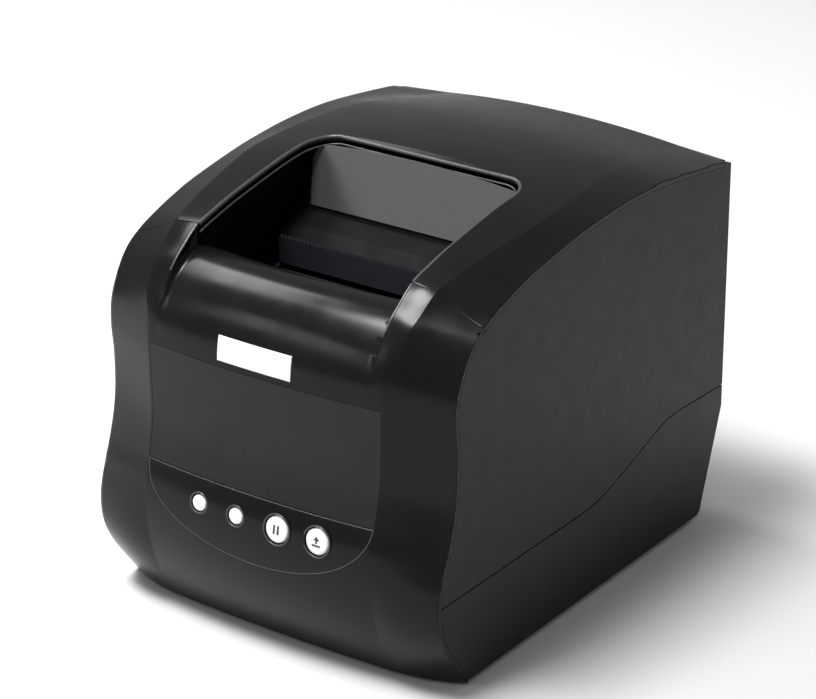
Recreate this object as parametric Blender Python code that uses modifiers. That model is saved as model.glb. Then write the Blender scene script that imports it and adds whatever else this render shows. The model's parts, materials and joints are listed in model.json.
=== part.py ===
"""Clamshell thermal label printer for 80 mm labels, as separate working pieces.

Run with: blender --background --python part.py
Units: the helpers take millimetres, and the scene is in metres. +Z is up, the front faces -Y, and the
origin is on the floor under the middle of the printer.
"""

import math

import bmesh
import bpy
import numpy as np
from mathutils import Matrix, Vector

MM = 0.001

# Driving dimensions.
HALF_WIDTH = 75.0
REAR_Y = 97.2
FLOOR_Z = 2.2
WALL = 2.1
SHELL = 2.4
GAP = 0.4
SEAM_GAP = 0.5
LIP = 1.4
RIM_X = 46.3
ROLL_X = 45.8
CHEEK_X = 46.6
HINGE_Y, HINGE_Z = REAR_Y - 3.0, 141.0
KNUCKLE_R, PIN_R = 2.4, 1.25
LUG_X = (34.0, 40.0)
EAR_Y = HINGE_Y - 1.5
PARTING_RADIUS = 157.6
PLATEN_Y, PLATEN_Z = -24.0, 105.0
PLATEN_R = 7.0
SHAFT_R = 3.0
BUSH_R = 5.0
HEAD_ANGLE = math.radians(45)
MODULE = 1.0
PLATEN_TEETH, IDLER_TEETH, MOTOR_TEETH = 16, 20, 10
MESH_GAP = 0.3
GEAR_X = (-60.0, -55.0)
TRAY_Y, TRAY_Z, TRAY_R = 47.5, 80.0, 44.0
GUIDE_X = 41.5
CONTROL_Z = 52.3
LED_X = {"online_led_window": -22.9, "error_led_window": -6.1}
BUTTON_X = {"pause_button": 11.9, "feed_button": 28.6}
LED_R = 3.0
BADGE_PLACE = (-1.6, -89.6, 110.8)
BADGE_SIZE = (31.8, 9.0)
BUTTON_R = 4.8
SCREW_SPOTS = [(-64.0, -52.0), (64.0, -52.0), (-64.0, 62.0), (64.0, 62.0)]
FOOT_SPOTS = [(-52.0, -56.0), (52.0, -56.0), (-52.0, 66.0), (52.0, 66.0)]

# Cross sections of the outer skin, from the bottom front edge over the top to the rear lip. Each one gives
# the centre line (y, z), the crease (x, y, z), the outer edge (y, z) and how far the outer facet swells.
STATIONS = np.array(
    [
        (-83.0, 2.2, 50.0, -81.4, 2.2, -71.0, 2.2, 1.5),
        (-90.5, 16.0, 50.0, -88.1, 16.0, -82.0, 17.0, 1.5),
        (-95.0, 29.0, 50.0, -92.0, 28.5, -87.2, 28.0, 1.2),
        (-97.0, 42.0, 50.0, -93.8, 41.0, -87.8, 39.0, 0.9),
        (-96.7, 52.0, 49.0, -93.5, 51.5, -84.8, 49.7, 0.5),
        (-93.5, 62.0, 49.8, -90.5, 62.0, -81.0, 60.2, 0.3),
        (-90.5, 76.0, 50.7, -87.5, 75.7, -77.7, 74.0, 0.0),
        (-89.9, 90.0, 51.1, -87.1, 90.0, -77.1, 89.7, 0.0),
        (-90.1, 104.0, 51.1, -87.2, 104.6, -78.0, 102.0, 0.0),
        (-89.0, 114.0, 51.6, -86.2, 114.0, -77.0, 112.0, 0.0),
        (-85.5, 123.5, 54.0, -82.9, 122.1, -72.5, 121.5, 0.0),
        (-79.0, 132.0, 54.7, -77.3, 130.2, -67.5, 127.5, 0.0),
        (-72.5, 138.0, 55.4, -72.0, 134.6, -60.5, 131.8, 0.0),
        (-63.5, 143.5, 56.3, -63.7, 140.6, -50.5, 135.7, 0.0),
        (-53.5, 146.6, 58.0, -54.3, 143.3, -41.5, 138.5, 0.0),
        (-40.5, 149.7, 60.0, -40.8, 146.3, -31.5, 141.0, 0.0),
        (-13.5, 154.9, 63.6, -14.6, 150.2, -9.5, 144.7, 0.0),
        (3.5, 156.3, 63.3, 3.1, 151.7, 6.5, 146.5, 0.0),
        (25.5, 156.6, 61.3, 25.3, 152.4, 27.3, 147.6, 0.0),
        (52.5, 154.5, 58.2, 53.1, 151.0, 51.5, 146.9, 0.0),
        (91.5, 147.5, 52.3, 91.7, 144.4, 86.5, 142.5, 0.0),
        (REAR_Y, 146.3, 52.0, REAR_Y, 143.4, REAR_Y, 140.3, 0.0),
    ]
)
ROLL_START = 9
# The bar in front of the paper slot: its centre line (y, z) at the stations after ROLL_START, and behind them.
ROLL_LINE = [(-83.8, 125.2), (-74.0, 132.8), (-62.5, 132.6), (-54.5, 122.0), (-49.5, 114.0), (-44.0, 112.0)]
ROLL_BOW = (3.4, -0.6)
ROLL_BLEND = 2
STEPS = 2

# The parting line between the base tray and the upper housing, along the sides (y, z).
SEAM = [
    (-95.0, 37.0),
    (-40.0, 37.0),
    (-15.0, 37.0),
    (0.0, 37.0),
    (10.0, 37.8),
    (21.6, 40.8),
    (37.7, 46.0),
    (52.5, 51.2),
    (62.0, 52.6),
    (75.0, 52.4),
    (100.0, 51.5),
]
REAR_KINK = (REAR_Y, 43.0)
REAR_FOOT = (84.5, 6.0)


# ---------------------------------------------------------------- scene and helpers


def clear_scene():
    for obj in list(bpy.data.objects):
        bpy.data.objects.remove(obj, do_unlink=True)


def new_collection(name):
    group = bpy.data.collections.new(name)
    bpy.context.scene.collection.children.link(group)
    return group


clear_scene()
PARTS = new_collection("label_printer")
CUTTERS = new_collection("cutters")


def paint(name, colour, roughness, metallic=0.0):
    material = bpy.data.materials.new(name)
    material.use_nodes = True
    shader = material.node_tree.nodes["Principled BSDF"]
    shader.inputs["Base Color"].default_value = (*colour, 1.0)
    shader.inputs["Roughness"].default_value = roughness
    shader.inputs["Metallic"].default_value = metallic
    return material


GLOSS_BLACK = paint("gloss_black_plastic", (0.012, 0.012, 0.013), 0.12)
MATTE_BLACK = paint("matte_black_plastic", (0.035, 0.035, 0.036), 0.5)
INNER_BLACK = paint("inner_black_plastic", (0.015, 0.015, 0.018), 0.55)
SMOKED = paint("smoked_window", (0.11, 0.11, 0.115), 0.2)
WHITE = paint("white_plastic", (0.8, 0.8, 0.8), 0.35)
RUBBER = paint("black_rubber", (0.02, 0.02, 0.02), 0.75)
STEEL = paint("steel", (0.55, 0.55, 0.56), 0.3, 1.0)
ALUMINIUM = paint("aluminium", (0.7, 0.7, 0.71), 0.35, 1.0)
ACETAL = paint("white_acetal", (0.75, 0.74, 0.7), 0.4)
BOARD = paint("circuit_board", (0.02, 0.12, 0.05), 0.4)
CERAMIC = paint("head_ceramic", (0.45, 0.42, 0.36), 0.3)


def add_object(name, mesh, material=None):
    """Puts a mesh in the scene, as a part where it has a material and as a cutter where it has none."""
    obj = bpy.data.objects.new(name, mesh)
    if material is None:
        CUTTERS.objects.link(obj)
        hide_helper(obj)
    else:
        PARTS.objects.link(obj)
        mesh.materials.append(material)
        mesh.shade_smooth()
        mesh.set_sharp_from_angle(angle=math.radians(30))
    return obj


def hide_helper(obj):
    obj.hide_render = True
    obj.display_type = "WIRE"


def mesh_of(bm, name):
    bmesh.ops.recalc_face_normals(bm, faces=bm.faces)
    mesh = bpy.data.meshes.new(name)
    bm.to_mesh(mesh)
    bm.free()
    return mesh


def box(name, low, high, material=None):
    size = (Vector(high) - Vector(low)) * MM
    middle = (Vector(high) + Vector(low)) * MM / 2
    bm = bmesh.new()
    bmesh.ops.create_cube(bm, size=1.0, matrix=Matrix.Translation(middle) @ Matrix.Diagonal((*size, 1.0)))
    return add_object(name, mesh_of(bm, name), material)


AXIS_TURN = {
    "X": Matrix.Rotation(math.radians(90), 4, "Y"),
    "Y": Matrix.Rotation(math.radians(90), 4, "X"),
    "Z": Matrix.Identity(4),
}


def rod(name, centre, radius, length, axis, material=None, sides=32):
    """A plain round bar about its centre."""
    bm = bmesh.new()
    place = Matrix.Translation(Vector(centre) * MM) @ AXIS_TURN[axis]
    bmesh.ops.create_cone(
        bm,
        cap_ends=True,
        segments=sides,
        radius1=radius * MM,
        radius2=radius * MM,
        depth=length * MM,
        matrix=place,
    )
    return add_object(name, mesh_of(bm, name), material)


def turned(name, profile, place, material=None, steps=24, closed=True):
    """A profile of (radius, height) turned about local Z. It runs down the outer side."""
    mesh = bpy.data.meshes.new(name)
    count = len(profile)
    edges = [(i, i + 1) for i in range(count - 1)]
    if closed:
        edges.append((count - 1, 0))
    mesh.from_pydata([(r * MM, 0.0, h * MM) for r, h in profile], edges, [])
    obj = add_object(name, mesh, material)
    obj.matrix_world = place
    screw = obj.modifiers.new("turn", "SCREW")
    screw.steps = screw.render_steps = steps
    screw.use_merge_vertices = True
    screw.merge_threshold = 0.00001
    screw.use_smooth_shade = False
    return obj


def tube(name, centre, outer, bore, length, axis, material=None, steps=32):
    half = length / 2
    profile = [(outer, half), (outer, -half), (bore, -half), (bore, half)]
    place = Matrix.Translation(Vector(centre) * MM) @ AXIS_TURN[axis]
    return turned(name, profile, place, material, steps)


PLANE_TURN = {
    "X": Matrix(((0, 0, 1, 0), (1, 0, 0, 0), (0, 1, 0, 0), (0, 0, 0, 1))),
    "Y": Matrix(((1, 0, 0, 0), (0, 0, -1, 0), (0, 1, 0, 0), (0, 0, 0, 1))),
    "Z": Matrix.Identity(4),
}


def prism(name, outlines, axis, low, high, material=None):
    """Flat outlines, the first with the others as holes, filled and extruded along an axis from low to high.

    Across X they are (y, z), across Y (x, z), and across Z (x, y).
    """
    curve = bpy.data.curves.new(name, "CURVE")
    curve.dimensions = "2D"
    curve.fill_mode = "BOTH"
    curve.extrude = (high - low) / 2 * MM
    for outline in outlines:
        spline = curve.splines.new("POLY")
        spline.points.add(len(outline) - 1)
        for point, (u, v) in zip(spline.points, outline):
            point.co = (u * MM, v * MM, 0.0, 1.0)
        spline.use_cyclic_u = True
    flat = bpy.data.objects.new(name + "_outline", curve)
    CUTTERS.objects.link(flat)
    middle = (high + low) / 2 * MM
    side = -1 if axis == "Y" else 1
    flat.matrix_world = PLANE_TURN[axis] @ Matrix.Translation((0, 0, side * middle))
    bpy.context.view_layer.update()
    mesh = bpy.data.meshes.new_from_object(flat.evaluated_get(bpy.context.evaluated_depsgraph_get()))
    mesh.transform(flat.matrix_world)
    bpy.data.objects.remove(flat)
    bm = bmesh.new()
    bm.from_mesh(mesh)
    bmesh.ops.remove_doubles(bm, verts=bm.verts, dist=1e-7)
    bm.to_mesh(mesh)
    bm.free()
    mesh.name = name
    return add_object(name, mesh, material)


def combine(obj, other, operation):
    modifier = obj.modifiers.new(f"{operation.lower()}_{other.name}", "BOOLEAN")
    modifier.operation = operation
    modifier.object = other
    modifier.use_self = True


def cut(obj, *others):
    for other in others:
        combine(obj, other, "DIFFERENCE")


def join(obj, *others):
    for other in others:
        combine(obj, other, "UNION")


def set_origin(obj, point):
    """Moves an object's origin to a point of its joint's axis, and leaves its shape where it is."""
    shift = Vector(point) * MM
    obj.data.transform(Matrix.Translation(-shift))
    obj.location = shift


def tilt_about(obj, point, angle):
    """Turns an object built upright about a line along X through the point (y, z)."""
    pivot = Vector((0.0, *point)) * MM
    turn = Matrix.Translation(pivot) @ Matrix.Rotation(angle, 4, "X") @ Matrix.Translation(-pivot)
    obj.data.transform(turn)
    return obj


def smooth(points, steps):
    """Points of a Catmull-Rom curve through the given points, with a number of steps to each span."""
    points = np.asarray(points, float)
    first = 2 * points[0] - points[1]
    last = 2 * points[-1] - points[-2]
    p = np.vstack([first, points, last])
    result = []
    for i in range(1, len(p) - 2):
        for t in np.arange(steps) / steps:
            linear = p[i + 1] - p[i - 1]
            square = 2 * p[i - 1] - 5 * p[i] + 4 * p[i + 1] - p[i + 2]
            cube = 3 * p[i] - p[i - 1] - 3 * p[i + 1] + p[i + 2]
            result.append(p[i] + 0.5 * (linear * t + square * t**2 + cube * t**3))
    result.append(p[-2])
    return np.array(result)


def offset(path, distance):
    """A path (y, z) moved sideways, to its left for a positive distance."""
    path = np.asarray(path, float)
    along = np.gradient(path, axis=0)
    along /= np.linalg.norm(along, axis=1)[:, None]
    return path + distance * np.column_stack([-along[:, 1], along[:, 0]])


def arc(centre, radius, start, end, count):
    """Points of an arc, with its angles in degrees."""
    angles = np.radians(np.linspace(start, end, count))
    return [(centre[0] + radius * math.cos(a), centre[1] + radius * math.sin(a)) for a in angles]


def circle(centre, radius, count=24):
    return arc(centre, radius, 0, 360 * (count - 1) / count, count)


# ---------------------------------------------------------------- outer skin

ROWS = smooth(STATIONS, STEPS)
EDGE = ROWS[:, 5:7]
# The outline runs up the front and back along the top, so its outside is on its left.
LIP_EDGE = np.minimum(offset(EDGE, LIP), (REAR_Y, 1000.0))


def skin_point(i, c):
    """A point of the skin in row i. c is 0 at the centre, 1 at the crease, 2 at the lip and 3 at the edge."""
    centre_y, centre_z, crease_x, crease_y, crease_z, edge_y, edge_z, swell = ROWS[i]
    side = math.copysign(1.0, c)
    c = abs(c)
    if c <= 1:
        y = centre_y + (crease_y - centre_y) * c * c
        z = centre_z + (crease_z - centre_z) * c * c
        return (side * c * crease_x, y, z)
    if c <= 2:
        t = c - 1
        lip_y, lip_z = LIP_EDGE[i]
        bulge = 4 * t * (1 - t) * swell
        x = crease_x + (HALF_WIDTH - crease_x) * t
        return (side * x, crease_y + (lip_y - crease_y) * t - bulge, crease_z + (lip_z - crease_z) * t)
    return (side * HALF_WIDTH, edge_y, edge_z)


def mirrored(half):
    return [-c for c in reversed(half)] + half


def skin(name, rows, material=None, thickness=SHELL):
    """A grid of points, with None where it has a hole, thickened inwards."""
    bm = bmesh.new()
    verts = [[p and bm.verts.new(Vector(p) * MM) for p in row] for row in rows]
    for low, high in zip(verts, verts[1:]):
        for j in range(len(low) - 1):
            corners = (low[j], low[j + 1], high[j + 1], high[j])
            if None not in corners:
                bm.faces.new(corners)
    mesh = bpy.data.meshes.new(name)
    bm.to_mesh(mesh)
    bm.free()
    obj = add_object(name, mesh, material)
    solid = obj.modifiers.new("thickness", "SOLIDIFY")
    solid.thickness = thickness * MM
    solid.offset = -1.0
    solid.use_even_offset = True
    obj.modifiers.new("triangles", "TRIANGULATE")
    return obj


def hinge_sector(name, radius, x_low, x_high):
    """The space nearer than a radius to the lid's hinge, on the side of the front."""
    front = arc((HINGE_Y, HINGE_Z), radius, 201, 160, 24)
    outline = front + [(HINGE_Y + 20, front[-1][1]), (HINGE_Y + 20, front[0][1])]
    return prism(name, [outline], "X", x_low, x_high)


def roll_row(i):
    """The centre (y, z) of the front cover in a row."""
    line = np.vstack([STATIONS[: ROLL_START + 1, :2], ROLL_LINE])
    y, z = smooth(line, STEPS)[i]
    return y, z


def front_cover():
    """The glossy front: chin, arms, and the bar in front of the slot, as one moulding."""
    last_arm = 14 * STEPS
    last_bar = (ROLL_START + len(ROLL_LINE)) * STEPS
    outer = [3, 2, 1.75, 1.5, 1.25, 1]
    across = np.linspace(-1, 1, 9)
    rows = []
    for i in range(last_bar + 1):
        arm = i <= last_arm
        blend = min(max((i - ROLL_START * STEPS) / (ROLL_BLEND * STEPS), 0.0), 1.0)
        row = [skin_point(i, -c) if arm else None for c in outer]
        rim = RIM_X / ROWS[min(i, last_arm), 2]
        row.append(skin_point(i, -rim) if arm else None)
        y, z = roll_row(i)
        for s in across:
            x = s * ROLL_X
            if blend < 1:
                shape = skin_point(i, x / ROWS[i, 2])
                plain = Vector((x, shape[1] - ROWS[i, 0] + y, shape[2] - ROWS[i, 1] + z))
            else:
                plain = Vector((x, y, z))
            bar = Vector((x, y + ROLL_BOW[0] * s * s, z + ROLL_BOW[1] * s * s))
            row.append(tuple(plain.lerp(bar, blend)))
        row.append(skin_point(i, rim) if arm else None)
        row += [skin_point(i, c) if arm else None for c in reversed(outer)]
        rows.append(row)
    cover = skin("front_cover", rows, GLOSS_BLACK)
    for side, (low, high) in {"left": (-80, -ROLL_X - 0.15), "right": (ROLL_X + 0.15, 80)}.items():
        cut(cover, hinge_sector(f"arm_end_{side}", PARTING_RADIUS + GAP / 2, low, high))
    cut(cover, prism("insert_window", [panel_outline(0.0)], "Y", -110, -60))
    return cover


PANEL_TOP, PANEL_SPLIT, PANEL_LOW = 104.0, 61.0, 35.0


def panel_outline(inset):
    """The insert's outline from the front (x, z): straight sides over a round chin."""
    half = 49.6 - inset
    top = [(half + 0.8, PANEL_TOP - inset), (-half - 0.8, PANEL_TOP - inset)]
    depth = PANEL_SPLIT - PANEL_LOW - inset
    chin = [
        (-half * math.cos(a), PANEL_SPLIT - depth * math.sin(a)) for a in np.radians(np.linspace(0, 180, 25))
    ]
    return top + chin


def insert_skin(name, material):
    """The skin behind the insert's window, a little inside the creases."""
    rows = []
    for i in range(2 * STEPS, 10 * STEPS):
        rows.append([skin_point(i, c) for c in np.linspace(-1, 1, 11)])
    return skin(name, rows, material, SHELL - 0.2)


def band(name, low, high):
    outline = [(-60, low), (60, low), (60, high), (-60, high)]
    return prism(name, [outline], "Y", -110, -60)


def control_tilt():
    """The slope of the control panel, from the centre line around the buttons."""
    low, high = STATIONS[3], STATIONS[5]
    return math.atan2(high[0] - low[0], high[1] - low[1])


def control_point(x):
    """The point of the skin at a control (x, y, z)."""
    y, z = STATIONS[4, :2]
    crease_x, crease_y = STATIONS[4, 2:4]
    y += (crease_y - y) * (x / crease_x) ** 2
    return Vector((x, y + (CONTROL_Z - z) * math.tan(control_tilt()), CONTROL_Z))


def control_place(x, depth):
    """A frame at a control whose Z axis points out of the panel, moved back by a depth."""
    turn = Matrix.Rotation(math.radians(90) - control_tilt(), 4, "X")
    place = Matrix.Translation(control_point(x) * MM) @ turn
    return place @ Matrix.Translation((0, 0, -depth * MM))


def front_inserts():
    """The mid panel and the half-moon control panel under it."""
    upper = insert_skin("front_panel", GLOSS_BLACK)
    combine(upper, prism("front_panel_outline", [panel_outline(GAP / 2)], "Y", -110, -60), "INTERSECT")
    cut(upper, band("below_front_panel", 0, PANEL_SPLIT + GAP / 2))
    lower = insert_skin("control_panel", GLOSS_BLACK)
    combine(lower, prism("control_panel_outline", [panel_outline(GAP / 2)], "Y", -110, -60), "INTERSECT")
    cut(lower, band("above_control_panel", PANEL_SPLIT - GAP / 2, 120))
    for name, x in (LED_X | BUTTON_X).items():
        radius = LED_R if name in LED_X else BUTTON_R
        hole = rod(f"{name}_hole", (0, 0, 0), radius + 0.35, 16, "Z", sides=24)
        hole.matrix_world = control_place(x, 0)
        cut(lower, hole)


def controls():
    """Two light windows, two buttons that slide in, and the board behind them."""
    for name, x in LED_X.items():
        profile = [(0, 0.15), (LED_R - 0.8, 0.1), (LED_R, -0.3), (LED_R, -5.0), (0, -5.0)]
        turned(name, profile, control_place(x, 0), WHITE, 24, closed=False)
    for name, x in BUTTON_X.items():
        profile = [(0, 0.35), (BUTTON_R - 0.9, 0.25), (BUTTON_R, -0.3), (BUTTON_R, -4.0), (1.5, -4.0), (1.5, -7.0)]
        turned(name, profile + [(0, -7.0)], control_place(x, 0), WHITE, 24, closed=False)
    board = box("button_board", (-36, -7, -11.2), (40, 7, -9.6), BOARD)
    board.matrix_world = control_place(0, 0)


def badge():
    """A blank plate on the front."""
    x, y, z = BADGE_PLACE
    half, height = BADGE_SIZE[0] / 2, BADGE_SIZE[1] / 2
    plate = box("badge_plate", (x - half, y - 1.2, z - height), (x + half, y - 0.2, z + height), WHITE)
    tilt_about(plate, (y, z), -math.radians(5))
    soften(plate, 0.3)


def soften(obj, width, segments=1):
    bevel = obj.modifiers.new("soften", "BEVEL")
    bevel.width = width * MM
    bevel.segments = segments
    bevel.limit_method = "ANGLE"


# ---------------------------------------------------------------- housings


def seam_line():
    return smooth(SEAM, 2)


def side_outline():
    """The outline of the side walls (y, z), a gap inside the skin's edge."""
    front = [tuple(p) for p in offset(EDGE, -GAP)]
    front[0] = (front[0][0] + GAP, FLOOR_Z)
    top = front[-1][1]
    front[-1] = (EAR_Y, top + 0.4)
    front += [(EAR_Y + GAP, top + 1.8), (REAR_Y, top + 1.4)]
    foot = arc((REAR_FOOT[0] - 4.0, REAR_FOOT[1]), 4.0, 0, -90, 5)
    return front + [REAR_KINK] + [(y, max(z, FLOOR_Z)) for y, z in foot]


def above_seam(name, lift):
    """The space over the parting line, moved up or down by half of the gap."""
    line = [(y, z + lift) for y, z in seam_line()]
    return prism(name, [line + [(line[-1][0], 160), (line[0][0], 160)]], "X", -90, 90)


def side_walls(name):
    """Left and right walls of the housing, as two helpers."""
    outline = side_outline()
    inner = HALF_WIDTH - WALL
    left = prism(f"{name}_left_wall", [outline], "X", -HALF_WIDTH, -inner)
    right = prism(f"{name}_right_wall", [outline], "X", inner, HALF_WIDTH)
    return left, right


def base_tray():
    """The matte lower housing: floor, low walls, screw posts and a slanted rear wall with the sockets."""
    chin = [skin_point(0, c) for c in np.linspace(-1.9, 1.9, 13)]
    floor = [(x, y + SHELL + GAP + 0.6) for x, y, _ in chin]
    side, rear = HALF_WIDTH - 0.6, 81.5
    floor += [(side, -66.0), (side, rear), (-side, rear), (-side, -66.0)]
    tray = prism("base_tray", [floor], "Z", FLOOR_Z + 0.1, FLOOR_Z + 2.4, MATTE_BLACK)
    join(tray, *side_walls("tray"))
    lean = [
        (REAR_Y, 60.0),
        REAR_KINK,
        REAR_FOOT,
        (80.9, FLOOR_Z + 0.05),
        (78.0, FLOOR_Z + 0.05),
        (79.5, 5.0),
        (REAR_FOOT[0] - 2.5, REAR_FOOT[1] + 0.8),
        (REAR_Y - 2.4, REAR_KINK[1] + 0.4),
        (REAR_Y - 2.4, 60.0),
    ]
    join(tray, prism("tray_rear_wall", [lean], "X", -HALF_WIDTH + 0.7, HALF_WIDTH - 0.7))
    join(tray, box("tray_front_wall", (-HALF_WIDTH + 0.5, -69, FLOOR_Z + 0.2), (HALF_WIDTH - 0.5, -66.8, 26)))
    for i, (x, y) in enumerate(SCREW_SPOTS):
        join(tray, rod(f"tray_post_{i}", (x, y, 11.4), 5.0, 17.2, "Z", sides=20))
    cut(tray, above_seam("tray_top_cut", -SEAM_GAP / 2))
    for i, (x, y) in enumerate(SCREW_SPOTS):
        cut(tray, rod(f"tray_head_bore_{i}", (x, y, 4.0), 3.4, 16.0, "Z", sides=20))
        cut(tray, rod(f"tray_shank_bore_{i}", (x, y, 16.0), 1.9, 16.0, "Z", sides=12))
    cut(tray, box("dc_jack_cut", (-51.3, 78, 11.4), (-38.7, 100, 23.2)))
    cut(tray, box("usb_port_cut", (-22.3, 78, 11.4), (-8.7, 100, 22.8)))
    cut(tray, box("rocker_cut", (-80, ROCKER_Y - 11.4, ROCKER_Z - 7.4), (-70, ROCKER_Y + 11.4, ROCKER_Z + 7.4)))
    return tray


def upper_housing():
    """The matte upper housing: both side walls and the rear wall, with the hinge lugs."""
    inner = HALF_WIDTH - WALL
    top = HINGE_Z - 4.1
    rear = [(REAR_Y, 45), (REAR_Y, top), (REAR_Y - 2.4, top - 0.4), (REAR_Y - 2.4, 45)]
    housing = prism("upper_housing", [rear], "X", -HALF_WIDTH + 0.6, HALF_WIDTH - 0.6, MATTE_BLACK)
    join(housing, *side_walls("housing"))
    for side in (-1, 1):
        low, high = sorted((side * LUG_X[0], side * LUG_X[1]))
        lug = arc((HINGE_Y, HINGE_Z), KNUCKLE_R, -30, 180, 14)
        lug += [(HINGE_Y - KNUCKLE_R, HINGE_Z - 8), (HINGE_Y + 1.0, HINGE_Z - 14), (HINGE_Y + 1.7, top - 0.9)]
        join(housing, prism(f"hinge_lug_{side}", [lug], "X", low, high))
    for i, (x, y) in enumerate(SCREW_SPOTS):
        side = math.copysign(1.0, x)
        low, high = sorted((side * 60.0, side * (inner - 0.5)))
        join(housing, box(f"housing_post_{i}", (low, y - 4.5, 20.6), (high, y + 4.5, 60)))
        low, high = sorted((side * 60.0, side * (inner + 0.6)))
        join(housing, box(f"housing_rib_{i}", (low, y - 4.5, 55), (high, y + 4.5, 60)))
    cut(housing, hinge_bore())
    for i, (x, y) in enumerate(SCREW_SPOTS):
        cut(housing, rod(f"housing_bore_{i}", (x, y, 20.0), 1.9, 24.0, "Z", sides=12))
    keep = above_seam("housing_keep", SEAM_GAP / 2)
    posts = box("housing_keep_posts", (-inner + 0.3, -70, 20), (inner - 0.3, 90, 70))
    join(keep, posts)
    combine(housing, keep, "INTERSECT")
    return housing


def hinge_bore():
    return rod("hinge_bore", (0, HINGE_Y, HINGE_Z), PIN_R + 0.35, 100, "X", sides=20)


# ---------------------------------------------------------------- lid


def opening_outline(grow=0.0):
    """The opening over the recess, from above (x, y), with wide rear corners."""
    half = RIM_X + grow
    rear = 8.6 + grow
    corner = [(half - 9 + 9 * math.cos(a), rear - 13 + 13 * math.sin(a)) for a in np.radians(range(0, 91, 10))]
    return [(half, -90)] + corner + [(-x, y) for x, y in reversed(corner)] + [(-half, -90)]


def lid_cover():
    """The glossy top cover, from the arms over the opening to its rear lip and hinge knuckles."""
    columns = mirrored([0.25, 0.5, 0.7, 0.85, 1, 1.35, 1.7, 2, 3])
    columns.insert(len(columns) // 2, 0)
    first = 11 * STEPS
    rows = [[skin_point(i, c) for c in columns] for i in range(first, len(ROWS))]
    rows.append([None] + [(x, REAR_Y, 139.2) for x, _, _ in rows[-1][1:-1]] + [None])
    lid = skin("lid_cover", rows, GLOSS_BLACK)
    combine(lid, hinge_sector("lid_front_trim", PARTING_RADIUS - GAP / 2, -80, 80), "INTERSECT")
    cut(lid, prism("lid_opening", [opening_outline()], "Z", 110, 180))
    for side in (-1, 1):
        low, high = sorted((side * (LUG_X[0] - GAP), side * (LUG_X[1] + GAP)))
        cut(lid, box(f"lug_notch_{side}", (low, HINGE_Y - 4.5, 130), (high, 100, HINGE_Z + 2.8)))
        low, high = sorted((side * (HALF_WIDTH - 2.5), side * 80.0))
        cut(lid, box(f"corner_cut_{side}", (low, EAR_Y - 0.1, 130), (high, 110, 160)))
        low, high = sorted((side * (LUG_X[0] - 8.0), side * (LUG_X[0] - GAP)))
        knuckle = arc((HINGE_Y, HINGE_Z), KNUCKLE_R, 180, 360, 13)
        knuckle += [(HINGE_Y + 2.2, HINGE_Z + 2.9), (HINGE_Y - KNUCKLE_R, HINGE_Z + 3.2)]
        join(lid, prism(f"lid_knuckle_{side}", [knuckle], "X", low, high))
    cut(lid, hinge_bore_lid())
    set_origin(lid, (0, HINGE_Y, HINGE_Z))
    return lid


def hinge_bore_lid():
    return rod("hinge_bore_lid", (0, HINGE_Y, HINGE_Z), PIN_R + 0.35, 2 * LUG_X[0], "X", sides=20)


def hinge_pins():
    for name, x in {"hinge_pin_left": -LUG_X[0], "hinge_pin_right": LUG_X[0]}.items():
        rod(name, (x, HINGE_Y, HINGE_Z), PIN_R, 12.6, "X", STEEL, sides=16)


def cheek_top():
    """The top of the recess walls (y, z), under the lid's skin at the side of the opening."""
    line = []
    for i in range(12 * STEPS, 18 * STEPS):
        _, y, z = skin_point(i, (CHEEK_X + 1) / ROWS[i, 2])
        if y < 12:
            line.append((y, z - SHELL - 0.8))
    return line


WINDOW_LOW = (-4.9, 131.4)
WINDOW_LEAN = 0.5
WINDOW_TOP = 150.4


def window_y(z):
    return WINDOW_LOW[0] + (z - WINDOW_LOW[1]) * WINDOW_LEAN


def cover_liner():
    """The recess under the opening: two side walls, a leaning rear wall for the window, and a stepped floor."""
    top = WINDOW_TOP
    floor = [
        (window_y(top) + 2.6, top),
        (window_y(top), top),
        (window_y(129.5), 129.5),
        (-14.0, 126.6),
        (-21.6, 122.6),
        (-21.6, 115.0),
        (-19.6, 115.0),
        (-19.6, 121.0),
        (-13.0, 124.2),
        (window_y(127.0) + 2.6, 127.0),
    ]
    liner = prism("cover_liner", [floor], "X", -CHEEK_X - 0.6, CHEEK_X + 0.6, INNER_BLACK)
    top_line = cheek_top()
    cheek = top_line + [(11.5, 126.0), (-12.0, 114.0), (-64.0, 114.0), (-75.0, 120.0)]
    for side in (-1, 1):
        low, high = sorted((side * CHEEK_X, side * (CHEEK_X + 1.8)))
        join(liner, prism(f"liner_cheek_{side}", [cheek], "X", low, high))
    combine(liner, hinge_sector("liner_trim", PARTING_RADIUS - GAP / 2 - 0.3, -60, 60), "INTERSECT")
    half = 42.0
    opening = [
        (window_y(132.4) - 6, 132.4 - 1),
        (window_y(149.2) - 6, 149.2),
        (window_y(149.2) + 8, 149.2),
        (window_y(132.4) + 8, 132.4 - 1),
    ]
    cut(liner, prism("window_cut", [opening], "X", -half, half))
    set_origin(liner, (0, HINGE_Y, HINGE_Z))
    return liner


def cover_window():
    low, high = 132.0, 148.6
    pane = [
        (window_y(low) + 0.2, low),
        (window_y(low) + 2.2, low),
        (window_y(high) + 2.2, high),
        (window_y(high) + 0.2, high),
    ]
    window = prism("cover_window", [pane], "X", -41.6, 41.6, SMOKED)
    set_origin(window, (0, HINGE_Y, HINGE_Z))


def tear_bar():
    """A toothed steel bar across the slot."""
    half, low, high = 42.5, 114.6, 125.2
    pitch, height = 1.7, 1.0
    count = int(2 * half / pitch)
    teeth = []
    for i in range(count):
        x = half - i * pitch
        teeth += [(x, high - height), (x - pitch / 2, high)]
    outline = [(-half, low), (half, low)] + teeth + [(-half, high - height)]
    bar = prism("tear_bar", [outline], "Y", -23.4, -22.3, STEEL)
    set_origin(bar, (0, HINGE_Y, HINGE_Z))


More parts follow.
